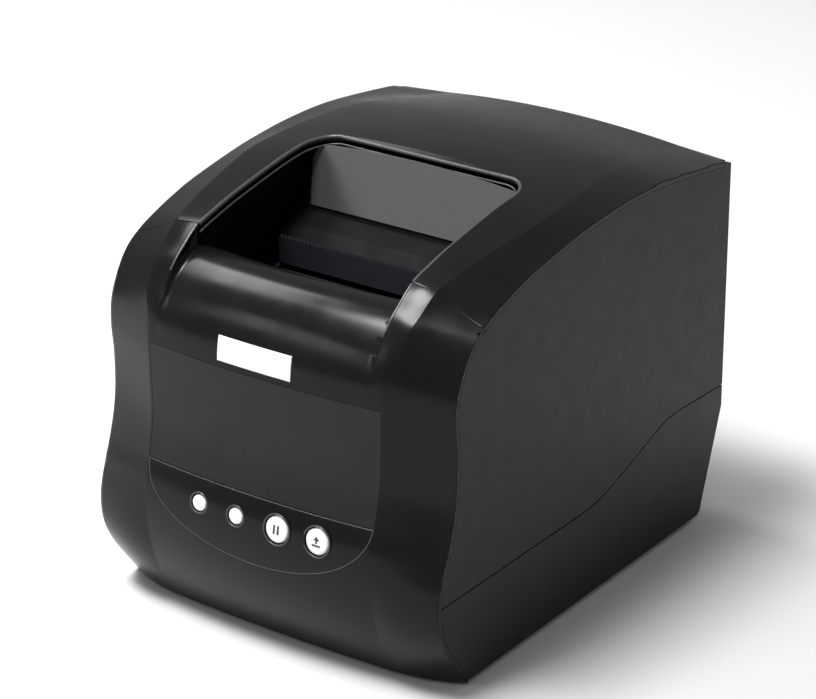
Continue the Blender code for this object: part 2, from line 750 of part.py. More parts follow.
def platen_bracket():
    """The steel channel that carries the platen under the lid."""
    ear = arc((PLATEN_Y, PLATEN_Z), 5.8, 100, 390, 20) + [(-15.5, 113.2), (-15.5, 121), (-18.6, 121), (-18.6, 114)]
    hole = circle((PLATEN_Y, PLATEN_Z), SHAFT_R + 0.35)
    bracket = box("platen_bracket", (-45.2, -19.2, 113.4), (45.2, -17.8, 120.4), STEEL)
    for side in (-1, 1):
        low, high = sorted((side * 43.7, side * 45.4))
        join(bracket, prism(f"bracket_ear_{side}", [ear, hole], "X", low, high))
    set_origin(bracket, (0, HINGE_Y, HINGE_Z))


def platen():
    """Rubber roller, steel shaft, two bushes and the gear."""
    axis = (0, PLATEN_Y, PLATEN_Z)
    tube("platen_roller", axis, PLATEN_R, SHAFT_R + 0.3, 83.0, "X", RUBBER)
    rod("platen_shaft", (-4.0, PLATEN_Y, PLATEN_Z), SHAFT_R, 117.0, "X", STEEL, sides=24)
    for name, x in {"platen_bush_left": -51.0, "platen_bush_right": 51.0}.items():
        tube(name, (x, PLATEN_Y, PLATEN_Z), BUSH_R, SHAFT_R + 0.3, 3.6, "X", ACETAL, 24)
    gear("platen_gear", PLATEN_TEETH, (PLATEN_Y, PLATEN_Z), SHAFT_R + 0.3, away_from_platen() + 180)


# ---------------------------------------------------------------- drive


def lid_direction():
    """The way in which the lid's rise first moves the platen (y, z)."""
    y, z = PLATEN_Y - HINGE_Y, PLATEN_Z - HINGE_Z
    length = math.hypot(y, z)
    return z / length, -y / length


def idler_centre():
    """The idler stands straight behind the platen's way out, so the gears part freely when the lid opens."""
    y, z = lid_direction()
    reach = MODULE * (PLATEN_TEETH + IDLER_TEETH) / 2 + MESH_GAP
    return PLATEN_Y - y * reach, PLATEN_Z - z * reach


def motor_centre():
    y, z = idler_centre()
    return y, z - MODULE * (IDLER_TEETH + MOTOR_TEETH) / 2 - MESH_GAP


def away_from_platen():
    """The angle in degrees from the platen to the idler, turned round."""
    y, z = lid_direction()
    return math.degrees(math.atan2(z, y))


def gear(name, teeth, centre, bore, tooth_angle, material=ACETAL):
    """A spur gear across X with one tooth pointing at an angle in degrees."""
    pitch_r = MODULE * teeth / 2
    root, tip = pitch_r - 1.0 * MODULE, pitch_r + 0.75 * MODULE
    root_half = 0.72 * MODULE / root
    tip_half = 0.3 * MODULE / tip
    outline = []
    for i in range(teeth):
        middle = math.radians(tooth_angle) + 2 * math.pi * i / teeth
        for radius, angle in ((root, -root_half), (tip, -tip_half), (tip, tip_half), (root, root_half)):
            a = middle + angle
            outline.append((centre[0] + radius * math.cos(a), centre[1] + radius * math.sin(a)))
    wheel = prism(name, [outline, circle(centre, bore, 20)], "X", *GEAR_X, material)
    set_origin(wheel, (0, *centre))
    return wheel


def drive():
    """Idler on its stud, stepping motor and pinion."""
    toward_platen = away_from_platen()
    half_step = 180 / IDLER_TEETH
    centre = idler_centre()
    gear("idler_gear", IDLER_TEETH, centre, 2.3, toward_platen + half_step)
    rod("idler_stud", (-57.3, *centre), 2.0, 9.6, "X", STEEL, sides=16)
    motor = motor_centre()
    # A tooth gap of the idler faces the pinion only where its own phase says so.
    phase = (270 - toward_platen - half_step) % (360 / IDLER_TEETH)
    lag = phase * IDLER_TEETH / MOTOR_TEETH
    pinion = gear("motor_pinion", MOTOR_TEETH, motor, 1.0, 90 + 180 / MOTOR_TEETH + lag, STEEL)
    shaft = rod("pinion_shaft", (-54.9, *motor), 1.9, 11.0, "X", sides=16)
    join(pinion, shaft)
    body = rod("stepper_motor", (-38.0, *motor), 17.0, 22.0, "X", STEEL, sides=40)
    boss = rod("motor_boss", (-49.2, *motor), 4.5, 2.0, "X", sides=20)
    join(body, boss)
    cut(body, rod("motor_bore", (-50.0, *motor), 2.3, 8.0, "X", sides=20))
    return pinion


def notch_outline():
    """The bush's way out of the frame: a slot that follows the lid's arc."""
    reach = math.hypot(PLATEN_Y - HINGE_Y, PLATEN_Z - HINGE_Z)
    start = math.degrees(math.atan2(PLATEN_Z - HINGE_Z, PLATEN_Y - HINGE_Y)) % 360
    hinge = (HINGE_Y, HINGE_Z)
    wide = BUSH_R + 0.35
    inner = arc(hinge, reach - wide, start, start - 9, 6)
    outer = arc(hinge, reach + wide, start - 9, start, 6)
    round_end = [p for p in circle((PLATEN_Y, PLATEN_Z), wide, 24)]
    return inner + outer, round_end


def mechanism_frame():
    """The steel frame: two side plates with bearing notches, a cross plate and the head's spring plate."""
    plate = [(-46.0, 52.0), (-4.0, 52.0), (-4.0, 84.0), (-13.0, 96.0), (-13.0, 111.0), (-40.0, 111.0), (-46.0, 103.0)]
    frame = box("mechanism_frame", (-51.8, -45.6, 58.0), (51.8, -43.8, 70.0), STEEL)
    for side in (-1, 1):
        low, high = sorted((side * 50.0, side * 52.0))
        join(frame, prism(f"frame_plate_{side}", [plate], "X", low, high))
    spring_plate = box("frame_spring_plate", (-51.0, -9.0, -16.4), (51.0, 5.0, -14.6))
    spring_plate.matrix_world = head_place()
    join(frame, spring_plate)
    slot, seat = notch_outline()
    cut(frame, prism("bearing_notch", [slot], "X", -60, 60))
    cut(frame, prism("bearing_seat", [seat], "X", -60, 60))
    cut(frame, rod("motor_clearance", (-50, *motor_centre()), 5.2, 10.0, "X", sides=24))
    return frame


def head_place():
    """A frame on the print head's face at the nip. Its Z axis points at the platen."""
    reach = PLATEN_R + GAP
    nip = Vector((0, PLATEN_Y - reach * math.sin(HEAD_ANGLE), PLATEN_Z - reach * math.cos(HEAD_ANGLE)))
    return Matrix.Translation(nip * MM) @ Matrix.Rotation(-HEAD_ANGLE, 4, "X")


def print_head():
    """Thermal head, its heat sink and the two springs that press it against the platen."""
    head = box("print_head", (-42.5, -9.0, -1.8), (42.5, 6.5, 0.0), CERAMIC)
    head.matrix_world = head_place()
    sink = box("head_heat_sink", (-43.2, -9.5, -7.0), (43.2, 6.0, -2.1), ALUMINIUM)
    sink.matrix_world = head_place()
    for i, y in enumerate((-6.5, -3.0, 0.5, 4.0)):
        fin_gap = box(f"sink_groove_{i}", (-50, y - 0.7, -10.0), (50, y + 0.7, -5.0))
        fin_gap.matrix_world = head_place()
        cut(sink, fin_gap)
    for name, x in {"head_spring_left": -26.0, "head_spring_right": 26.0}.items():
        spring(name, x, -2.0, -14.0, -7.7)


def spring(name, x, y, low, high):
    """A compression spring along the head's Z axis."""
    radius, wire, turns = 2.8, 0.45, 4
    count = turns * 10
    curve = bpy.data.curves.new(name, "CURVE")
    curve.dimensions = "3D"
    curve.bevel_depth = wire * MM
    curve.bevel_resolution = 1
    curve.use_fill_caps = True
    spline = curve.splines.new("POLY")
    spline.points.add(count)
    for i, point in enumerate(spline.points):
        angle = 2 * math.pi * turns * i / count
        height = low + (high - low) * i / count
        centre = Vector((x + radius * math.cos(angle), y + radius * math.sin(angle), height)) * MM
        point.co = (*centre, 1.0)
    curve.materials.append(STEEL)
    coil = bpy.data.objects.new(name, curve)
    PARTS.objects.link(coil)
    coil.matrix_world = head_place()


# ---------------------------------------------------------------- label bay


def roll_tray():
    """The bucket that the label roll drops into, with slots for the guides' legs."""
    inner = arc((TRAY_Y, TRAY_Z), TRAY_R, 165, 368, 27)
    outer = arc((TRAY_Y, TRAY_Z), TRAY_R + 1.8, 368, 165, 27)
    outline = [(-10.0, 98.6), (0.0, 98.2)] + inner + outer + [(-2.0, 96.3), (-10.0, 96.6)]
    tray = prism("roll_tray", [outline], "X", -54.0, 54.0, INNER_BLACK)
    for side in (-1, 1):
        low, high = sorted((side * 9.0, side * 44.6))
        cut(tray, box(f"guide_slot_{side}", (low, TRAY_Y - 9, 30), (high, TRAY_Y + 9, 42)))
    return tray


def rack_outline(side):
    """A guide's rack from above (x, y), with its teeth towards the pinion."""
    far, near = -side * 5.0, side * (GUIDE_X + 1.1)
    inner = PINION_R + MESH_GAP / 2 + 1.0
    step = math.pi * PINION_MODULE
    teeth = []
    for i in range(-1, int(abs(near) / step)):
        middle = i * step
        for along, height in ((-0.36, 0.0), (-0.15, 1.5), (0.15, 1.5), (0.36, 0.0)):
            teeth.append((side * (middle + along * step), inner - height))
    line = [(far, inner)] + teeth + [(near, inner)]
    back = [(near, inner + 2.6), (far, inner + 2.6)]
    return [(px, TRAY_Y + side * py) for px, py in line + back]


PINION_TEETH, PINION_MODULE = 8, 1.0
PINION_R = PINION_TEETH * PINION_MODULE / 2
RACK_Z = (26.0, 29.0)


def paper_guides():
    """Two guides that slide together on racks, and the pinion that links them."""
    for side, name in ((-1, "paper_guide_left"), (1, "paper_guide_right")):
        low, high = sorted((side * GUIDE_X, side * (GUIDE_X + 1.8)))
        disc = arc((TRAY_Y, TRAY_Z), TRAY_R - 0.6, 150, 390, 31)
        guide = prism(name, [disc + [(80.0, 112.0), (14.0, 112.0)]], "X", low, high, INNER_BLACK)
        leg_y = TRAY_Y + side * (PINION_R + 2.4)
        join(guide, box(f"{name}_leg", (low + 0.2, leg_y - 1.2, RACK_Z[0] + 0.3), (high - 0.2, leg_y + 1.2, 40)))
        join(guide, prism(f"{name}_rack", [rack_outline(side)], "Z", *RACK_Z))
    teeth = []
    for i in range(PINION_TEETH):
        middle = 2 * math.pi * (i + 0.5) / PINION_TEETH + math.pi / 2
        for radius, half in ((PINION_R - 1.0, 0.2), (PINION_R + 0.7, 0.07)):
            teeth.append((middle, radius, half))
    outline = []
    for i in range(0, len(teeth), 2):
        (middle, root, wide), (_, tip, slim) = teeth[i], teeth[i + 1]
        for radius, angle in ((root, -wide), (tip, -slim), (tip, slim), (root, wide)):
            a = middle + angle
            outline.append((radius * math.cos(a), TRAY_Y + radius * math.sin(a)))
    pinion = prism("guide_pinion", [outline, circle((0, TRAY_Y), 1.3, 12)], "Z", *RACK_Z, ACETAL)
    set_origin(pinion, (0, TRAY_Y, RACK_Z[0]))


# ---------------------------------------------------------------- electrics and small parts

ROCKER_Y, ROCKER_Z = 40.0, 24.0
ROCKER_THROW = 10.0


def boards():
    """The main board with its larger components, the gap sensor and the cover switch."""
    board = box("main_board", (-52, -8, 9.2), (52, 76, 10.8), BOARD)
    parts = {
        "processor": ((-8, 30, 10.5), (8, 46, 12.4)),
        "head_plug": ((-30, -6, 10.5), (22, 0, 16.0)),
        "motor_plug": ((30, -6, 10.5), (42, 0, 17.0)),
        "choke": ((-42, 40, 10.5), (-30, 52, 18.5)),
    }
    for name, (low, high) in parts.items():
        join(board, box(name, low, high))
    for i, x in enumerate((24.0, 38.0)):
        join(board, rod(f"capacitor_{i}", (x, 60, 17.0), 5.0, 13.0, "Z", sides=20))
    sensor = box("gap_sensor", (12, -19.0, 91.0), (26, -11.0, 96.5), INNER_BLACK)
    soften(sensor, 0.5)
    switch = box("cover_switch", (52.6, -34, 92), (58.4, -22, 99), INNER_BLACK)
    join(switch, box("switch_lever", (54.5, -30, 98.8), (56.5, -23, 100.6)))


def sockets():
    """Power inlet and data port, standing on the main board at the rear."""
    jack = box("dc_jack", (-50.9, 74.0, 11.6), (-39.1, 86.6, 22.8), INNER_BLACK)
    cut(jack, rod("jack_hole", (-45, 84.0, 17.4), 3.3, 16.0, "Y", sides=20))
    join(jack, rod("jack_pin", (-45, 80.5, 17.4), 1.0, 10.5, "Y", sides=10))
    port = box("usb_port", (-21.9, 70.0, 11.6), (-9.1, 86.6, 22.4), STEEL)
    mouth = [(-19.8, 13.2), (-11.2, 13.2), (-11.2, 18.8), (-13.2, 20.8), (-17.8, 20.8), (-19.8, 18.8)]
    cut(port, prism("port_mouth", [mouth], "Y", 74.0, 95.0))
    join(port, box("port_tongue", (-18.3, 73.0, 15.8), (-12.7, 78.5, 17.8)))


def power_switch():
    """A rocker in a snap-in frame, in the left wall."""
    y, z = ROCKER_Y, ROCKER_Z
    x = -HALF_WIDTH
    frame = box("rocker_frame", (x - 0.0, y - 11.0, z - 7.0), (x + 12.0, y + 11.0, z + 7.0), INNER_BLACK)
    cut(frame, box("rocker_space", (x - 2, y - 9.2, z - 5.2), (x + 9.5, y + 9.2, z + 5.2)))
    half = 8.6
    face = [(x + 1.4, y - half), (x + 2.3, y), (x + 1.4, y + half), (x + 5.0, y + 6.4), (x + 7.2, y), (x + 5.0, y - 6.4)]
    pivot = Matrix.Translation(Vector((x + 4.0, y, z)) * MM)
    rocker = prism("power_rocker", [face], "Z", z - 4.8, z + 4.8, INNER_BLACK)
    rocker.data.transform(pivot @ Matrix.Rotation(math.radians(-ROCKER_THROW / 2), 4, "Z") @ pivot.inverted())
    set_origin(rocker, (x + 4.0, y, z))


def small_parts():
    for i, (x, y) in enumerate(FOOT_SPOTS):
        foot = rod(f"rubber_foot_{i + 1}", (x, y, 0.95), 7.0, 1.9, "Z", RUBBER, sides=32)
        soften(foot, 0.4)
    for i, (x, y) in enumerate(SCREW_SPOTS):
        profile = [(0, 26.0), (1.5, 26.0), (1.5, 11.6), (2.9, 11.6), (2.9, 9.9), (1.0, 9.9), (0.9, 10.9), (0, 10.9)]
        place = Matrix.Translation(Vector((x, y, 0.0)) * MM)
        turned(f"base_screw_{i + 1}", profile, place, STEEL, 16, closed=False)


front_cover()
front_inserts()
controls()
badge()
base_tray()
upper_housing()
lid_cover()
hinge_pins()
cover_liner()
cover_window()
tear_bar()
platen_bracket()
platen()
drive()
mechanism_frame()
print_head()
roll_tray()
paper_guides()
boards()
sockets()
power_switch()
small_parts()
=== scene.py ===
"""Looks of the thermal label printer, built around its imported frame.

The CAD frame holds every working piece. This script replaces the faceted outer shells, window, lights and
buttons with fine ones, gives each piece a procedural material, and sets the floor, the light and the camera.
Lengths in the shape functions are millimetres, and MM turns them into metres.
"""

import json
import math

import bmesh
import bpy
import numpy as np
from mathutils import Matrix, Vector


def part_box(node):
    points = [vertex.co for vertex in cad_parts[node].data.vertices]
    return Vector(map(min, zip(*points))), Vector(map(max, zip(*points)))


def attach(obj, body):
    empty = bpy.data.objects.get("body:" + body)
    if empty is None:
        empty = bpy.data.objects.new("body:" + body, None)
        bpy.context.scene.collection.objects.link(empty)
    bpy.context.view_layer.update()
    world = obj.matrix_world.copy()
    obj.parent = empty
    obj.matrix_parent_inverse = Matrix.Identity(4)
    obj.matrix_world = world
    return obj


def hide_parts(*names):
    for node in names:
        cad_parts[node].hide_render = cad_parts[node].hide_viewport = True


MM = 0.001
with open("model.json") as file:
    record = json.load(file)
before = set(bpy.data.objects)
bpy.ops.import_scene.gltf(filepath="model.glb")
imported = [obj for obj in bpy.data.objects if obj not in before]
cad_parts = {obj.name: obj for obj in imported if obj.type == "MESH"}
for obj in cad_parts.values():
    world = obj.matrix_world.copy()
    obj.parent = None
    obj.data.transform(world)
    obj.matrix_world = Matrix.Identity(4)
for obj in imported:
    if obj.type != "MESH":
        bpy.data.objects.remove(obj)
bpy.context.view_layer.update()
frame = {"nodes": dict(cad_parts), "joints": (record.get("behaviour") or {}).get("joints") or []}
NODES = frame["nodes"]


def node_box(name):
    """Lowest and highest corner of a CAD node, in millimetres."""
    low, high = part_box(name)
    return np.array(low) / MM, np.array(high) / MM


# Driving dimensions, read from the frame where it has them.
HALF_WIDTH = node_box("upper_housing")[1][0]
REAR_Y = node_box("upper_housing")[1][1]
HINGE_Y, HINGE_Z = (v / MM for v in frame["joints"][0]["pos_m"][1:])
SHELL = 2.4
GAP = 0.4
LIP = 1.4
RIM_X = 46.3
ROLL_X = 45.8
PARTING_RADIUS = 157.6
CONTROL_Z = 52.3
LUG_X = (34.0, 40.0)
KNUCKLE_R = 2.4
PIN_BORE_R = 1.6
EAR_Y = HINGE_Y - 1.5
PANEL_TOP, PANEL_SPLIT, PANEL_LOW = 104.0, 61.0, 35.0
PANEL_HALF = 49.6
LED_R = 3.0
BUTTON_R = 4.8
FINE = 8

# Cross sections of the outer skin: centre line (y, z), crease (x, y, z), outer edge (y, z) and swell.
STATIONS = np.array(
    [
        (-83.0, 2.2, 50.0, -81.4, 2.2, -71.0, 2.2, 1.5),
        (-90.5, 16.0, 50.0, -88.1, 16.0, -82.0, 17.0, 1.5),
        (-95.0, 29.0, 50.0, -92.0, 28.5, -87.2, 28.0, 1.2),
        (-97.0, 42.0, 50.0, -93.8, 41.0, -87.8, 39.0, 0.9),
        (-96.7, 52.0, 49.0, -93.5, 51.5, -84.8, 49.7, 0.5),
        (-93.5, 62.0, 49.8, -90.5, 62.0, -81.0, 60.2, 0.3),
        (-90.5, 76.0, 50.7, -87.5, 75.7, -77.7, 74.0, 0.0),
        (-89.9, 90.0, 51.1, -87.1, 90.0, -77.1, 89.7, 0.0),
        (-90.1, 104.0, 51.1, -87.2, 104.6, -78.0, 102.0, 0.0),
        (-89.0, 114.0, 51.6, -86.2, 114.0, -77.0, 112.0, 0.0),
        (-85.5, 123.5, 54.0, -82.9, 122.1, -72.5, 121.5, 0.0),
        (-79.0, 132.0, 54.7, -77.3, 130.2, -67.5, 127.5, 0.0),
        (-72.5, 138.0, 55.4, -72.0, 134.6, -60.5, 131.8, 0.0),
        (-63.5, 143.5, 56.3, -63.7, 140.6, -50.5, 135.7, 0.0),
        (-53.5, 146.6, 58.0, -54.3, 143.3, -41.5, 138.5, 0.0),
        (-40.5, 149.7, 60.0, -40.8, 146.3, -31.5, 141.0, 0.0),
        (-13.5, 154.9, 63.6, -14.6, 150.2, -9.5, 144.7, 0.0),
        (3.5, 156.3, 63.3, 3.1, 151.7, 6.5, 146.5, 0.0),
        (25.5, 156.6, 61.3, 25.3, 152.4, 27.3, 147.6, 0.0),
        (52.5, 154.5, 58.2, 53.1, 151.0, 51.5, 146.9, 0.0),
        (91.5, 147.5, 52.3, 91.7, 144.4, 86.5, 142.5, 0.0),
        (REAR_Y, 146.3, 52.0, REAR_Y, 143.4, REAR_Y, 140.3, 0.0),
    ]
)
ROLL_START = 9
ROLL_LINE = [(-83.8, 125.2), (-74.0, 132.8), (-62.5, 132.6), (-54.5, 122.0), (-49.5, 114.0), (-44.0, 112.0)]
ROLL_BOW = (3.4, -0.6)
ROLL_BLEND = 2


# ---------------------------------------------------------------- mesh helpers

SOFTEN_ANGLE = 40


def add_mesh(name, bm, material=None, smooth_angle=40):
    mesh = bpy.data.meshes.new(name)
    bm.to_mesh(mesh)
    bm.free()
    obj = bpy.data.objects.new(name, mesh)
    bpy.context.scene.collection.objects.link(obj)
    if material:
        mesh.materials.append(material)
    mesh.shade_smooth()
    mesh.set_sharp_from_angle(angle=math.radians(smooth_angle))
    return obj


def settle(obj):
    """Applies an object's modifiers, and places its mesh in the frame."""
    bpy.context.view_layer.update()
    graph = bpy.context.evaluated_depsgraph_get()
    mesh = bpy.data.meshes.new_from_object(obj.evaluated_get(graph))
    mesh.name = obj.name
    mesh.transform(obj.matrix_world)
    obj.modifiers.clear()
    obj.data = mesh
    obj.matrix_world = Matrix.Identity(4)
    return obj


def remove(obj):
    bpy.data.objects.remove(obj, do_unlink=True)


def smooth(points, steps):
    """Points of a Catmull-Rom curve through the given points, with a number of steps to each span."""
    points = np.asarray(points, float)
    first = 2 * points[0] - points[1]
    last = 2 * points[-1] - points[-2]
    p = np.vstack([first, points, last])
    result = []
    for i in range(1, len(p) - 2):
        for t in np.arange(steps) / steps:
            linear = p[i + 1] - p[i - 1]
            square = 2 * p[i - 1] - 5 * p[i] + 4 * p[i + 1] - p[i + 2]
            cube = 3 * p[i] - p[i - 1] - 3 * p[i + 1] + p[i + 2]
            result.append(p[i] + 0.5 * (linear * t + square * t**2 + cube * t**3))
    result.append(p[-2])
    return np.array(result)


def offset(path, distance):
    path = np.asarray(path, float)
    along = np.gradient(path, axis=0)
    along /= np.linalg.norm(along, axis=1)[:, None]
    return path + distance * np.column_stack([-along[:, 1], along[:, 0]])


def arc(centre, radius, start, end, count):
    angles = np.radians(np.linspace(start, end, count))
    return [(centre[0] + radius * math.cos(a), centre[1] + radius * math.sin(a)) for a in angles]


# An outline's plane, turned so that its own X and Y are (y, z) across X, (x, z) across Y, or (x, y) across Z.
PLANE_TURN = {
    "X": Matrix(((0, 0, 1, 0), (1, 0, 0, 0), (0, 1, 0, 0), (0, 0, 0, 1))),
    "Y": Matrix(((1, 0, 0, 0), (0, 0, -1, 0), (0, 1, 0, 0), (0, 0, 0, 1))),
    "Z": Matrix.Identity(4),
}


def prism(name, outlines, axis, low, high, material=None, bevel=0.0):
    """Flat outlines, the first with the others as holes, extruded along an axis, with rims rounded when a
    bevel is given.
    """
    curve = bpy.data.curves.new(name, "CURVE")
    curve.dimensions = "2D"
    curve.fill_mode = "BOTH"
    curve.extrude = (high - low) / 2 * MM
    for outline in outlines:
        spline = curve.splines.new("POLY")
        spline.points.add(len(outline) - 1)
        for point, (u, v) in zip(spline.points, outline):
            point.co = (u * MM, v * MM, 0.0, 1.0)
        spline.use_cyclic_u = True
    flat = bpy.data.objects.new(name + "_outline", curve)
    bpy.context.scene.collection.objects.link(flat)
    middle = (high + low) / 2 * MM
    side = -1 if axis == "Y" else 1
    flat.matrix_world = PLANE_TURN[axis] @ Matrix.Translation((0, 0, side * middle))
    bpy.context.view_layer.update()
    mesh = bpy.data.meshes.new_from_object(flat.evaluated_get(bpy.context.evaluated_depsgraph_get()))
    mesh.transform(flat.matrix_world)
    remove(flat)
    bm = bmesh.new()
    bm.from_mesh(mesh)
    bmesh.ops.remove_doubles(bm, verts=bm.verts, dist=1e-7)
    bmesh.ops.dissolve_limit(bm, angle_limit=0.001, verts=bm.verts, edges=bm.edges)
    obj = add_mesh(name, bm, material, 35)
    if bevel:
        soften(obj, bevel)
        settle(obj)
    return obj


def soften(obj, width, segments=3):
    modifier = obj.modifiers.new("rounded", "BEVEL")
    modifier.width = width * MM
    modifier.segments = segments
    modifier.limit_method = "ANGLE"
    modifier.angle_limit = math.radians(SOFTEN_ANGLE)
    modifier.harden_normals = True


def combine(obj, other, operation):
    modifier = obj.modifiers.new(operation.lower(), "BOOLEAN")
    modifier.operation = operation
    modifier.object = other
    modifier.use_self = True
    settle(obj)
    remove(other)


def bead(name, points, radius, material):
    """A thin rounded moulding along points."""
    curve = bpy.data.curves.new(name, "CURVE")
    curve.dimensions = "3D"
    curve.bevel_depth = radius * MM
    curve.bevel_resolution = 2
    curve.use_fill_caps = True
    spline = curve.splines.new("POLY")
    spline.points.add(len(points) - 1)
    for point, place in zip(spline.points, points):
        point.co = (*(Vector(place) * MM), 1.0)
    curve.materials.append(material)
    obj = bpy.data.objects.new(name, curve)
    bpy.context.scene.collection.objects.link(obj)
    bpy.context.view_layer.update()
    mesh = bpy.data.meshes.new_from_object(obj.evaluated_get(bpy.context.evaluated_depsgraph_get()))
    remove(obj)
    bm = bmesh.new()
    bm.from_mesh(mesh)
    bmesh.ops.remove_doubles(bm, verts=bm.verts, dist=1e-7)
    return add_mesh(name, bm, material, 60)


# ---------------------------------------------------------------- materials


def shader_of(name):
    material = bpy.data.materials.new(name)
    material.use_nodes = True
    tree = material.node_tree
    return material, tree, tree.nodes["Principled BSDF"]


def add_node(tree, kind, **values):
    node = tree.nodes.new(kind)
    for key, value in values.items():
        setattr(node, key, value)
    return node


def noise(tree, scale, detail=3.0, roughness=0.5):
    """Noise over the object's own coordinates. The scale counts features to a metre."""
    place = add_node(tree, "ShaderNodeTexCoord")
    texture = add_node(tree, "ShaderNodeTexNoise")
    texture.inputs["Scale"].default_value = scale
    texture.inputs["Detail"].default_value = detail
    texture.inputs["Roughness"].default_value = roughness
    tree.links.new(place.outputs["Object"], texture.inputs["Vector"])
    return texture.outputs["Fac"]


def spread(tree, source, low, high, start=0.3, end=0.7):
    """A noise turned into values from low to high."""
    remap = add_node(tree, "ShaderNodeMapRange")
    remap.inputs["From Min"].default_value = start
    remap.inputs["From Max"].default_value = end
    remap.inputs["To Min"].default_value = low
    remap.inputs["To Max"].default_value = high
    tree.links.new(source, remap.inputs["Value"])
    return remap.outputs["Result"]


def two_tone(tree, source, dark, light):
    ramp = add_node(tree, "ShaderNodeMix", data_type="RGBA")
    ramp.inputs["A"].default_value = (*dark, 1.0)
    ramp.inputs["B"].default_value = (*light, 1.0)
    tree.links.new(source, ramp.inputs["Factor"])
    return ramp.outputs["Result"]


def bump(tree, shader, source, height, strength=1.0):
    node = add_node(tree, "ShaderNodeBump")
    node.inputs["Strength"].default_value = strength
    node.inputs["Distance"].default_value = height
    tree.links.new(source, node.inputs["Height"])
    tree.links.new(node.outputs["Normal"], shader.inputs["Normal"])


def gloss_plastic(name, dark, light, rough, specular=0.5):
    """Polished moulding: a faint unevenness in its gloss, and fine dust in its colour."""
    material, tree, shader = shader_of(name)
    colour = two_tone(tree, spread(tree, noise(tree, 60), 0, 1), dark, light)
    tree.links.new(colour, shader.inputs["Base Color"])
    tree.links.new(spread(tree, noise(tree, 90), rough * 0.85, rough * 1.2), shader.inputs["Roughness"])
    shader.inputs["Specular IOR Level"].default_value = specular
    return material


def spark_plastic(name, dark, light, rough, grain=0.00004, specular=0.5):
    """Moulded plastic with a fine spark-eroded grain."""
    material, tree, shader = shader_of(name)
    colour = two_tone(tree, spread(tree, noise(tree, 2500, 2), 0, 1), dark, light)
    tree.links.new(colour, shader.inputs["Base Color"])
    tree.links.new(spread(tree, noise(tree, 120), rough * 0.92, rough * 1.08), shader.inputs["Roughness"])
    shader.inputs["Specular IOR Level"].default_value = specular
    bump(tree, shader, noise(tree, 3200, 2), grain)
    return material


def metal(name, dark, light, rough, along="X"):
    """Rolled or turned metal with fine lines along one direction."""
    material, tree, shader = shader_of(name)
    place = add_node(tree, "ShaderNodeTexCoord")
    stretch = add_node(tree, "ShaderNodeMapping")
    stretch.inputs["Scale"].default_value = [60 if axis == along else 4000 for axis in "XYZ"]
    lines = add_node(tree, "ShaderNodeTexNoise")
    lines.inputs["Scale"].default_value = 1.0
    tree.links.new(place.outputs["Object"], stretch.inputs["Vector"])
    tree.links.new(stretch.outputs["Vector"], lines.inputs["Vector"])
    source = lines.outputs["Fac"]
    tree.links.new(two_tone(tree, spread(tree, source, 0, 1), dark, light), shader.inputs["Base Color"])
    tree.links.new(spread(tree, source, rough * 0.8, rough * 1.3), shader.inputs["Roughness"])
    shader.inputs["Metallic"].default_value = 1.0
    bump(tree, shader, source, 0.00002)
    return material


def smoked_glass():
    """Smoked acrylic with a faint haze."""
    material, tree, shader = shader_of("smoked_acrylic")
    colour = two_tone(tree, spread(tree, noise(tree, 40), 0, 1), (0.04, 0.04, 0.041), (0.044, 0.044, 0.045))
    tree.links.new(colour, shader.inputs["Base Color"])
    tree.links.new(spread(tree, noise(tree, 150), 0.26, 0.28), shader.inputs["Roughness"])
    shader.inputs["Specular IOR Level"].default_value = 0.25
    return material


def circuit_board():
    material, tree, shader = shader_of("solder_resist")
    tracks = add_node(tree, "ShaderNodeTexBrick")
    place = add_node(tree, "ShaderNodeTexCoord")
    tree.links.new(place.outputs["Object"], tracks.inputs["Vector"])
    tracks.inputs["Scale"].default_value = 220.0
    tracks.inputs["Color1"].default_value = (0.012, 0.09, 0.035, 1.0)
    tracks.inputs["Color2"].default_value = (0.016, 0.11, 0.045, 1.0)
    tracks.inputs["Mortar"].default_value = (0.04, 0.2, 0.09, 1.0)
    tracks.inputs["Mortar Size"].default_value = 0.02
    tree.links.new(tracks.outputs["Color"], shader.inputs["Base Color"])
    tree.links.new(spread(tree, noise(tree, 300), 0.3, 0.45), shader.inputs["Roughness"])
    return material


GLOSS = gloss_plastic("gloss_black_moulding", (0.0045, 0.0045, 0.005), (0.006, 0.006, 0.0065), 0.22, 0.17)
# The rim colour is a lighter black than the shell: a painted highlight along the rounded rims, beads and
# rings.
PAINTED_HIGHLIGHT_RIM = gloss_plastic("rim_moulding_painted_highlight", (0.04, 0.04, 0.041), (0.05, 0.05, 0.051), 0.3, 0.5)
INSERT = gloss_plastic("panel_black_moulding", (0.014, 0.014, 0.0145), (0.0165, 0.0165, 0.017), 0.3, 0.18)
SATIN = spark_plastic(
    "satin_black_moulding", (0.008, 0.008, 0.0084), (0.0105, 0.0105, 0.011), 0.42, specular=0.2
)
INNER = spark_plastic("inner_black_moulding", (0.006, 0.006, 0.007), (0.008, 0.008, 0.009), 0.45)
RECESS = spark_plastic(
    "recess_black_moulding", (0.0012, 0.0012, 0.0018), (0.002, 0.002, 0.003), 0.6, specular=0.08
)
ROCKER = gloss_plastic("rocker_black_moulding", (0.01, 0.01, 0.01), (0.013, 0.013, 0.013), 0.3)
WHITE = gloss_plastic("white_moulding", (0.78, 0.78, 0.78), (0.83, 0.83, 0.83), 0.35)
PRINT = gloss_plastic("dark_print", (0.02, 0.02, 0.022), (0.03, 0.03, 0.032), 0.5)
BADGE = gloss_plastic("badge_white", (0.8, 0.81, 0.82), (0.84, 0.845, 0.85), 0.3)
RUBBER = spark_plastic("ground_rubber", (0.012, 0.012, 0.012), (0.02, 0.02, 0.02), 0.8, 0.00008)
STEEL = metal("drawn_steel", (0.42, 0.42, 0.43), (0.6, 0.6, 0.62), 0.3)
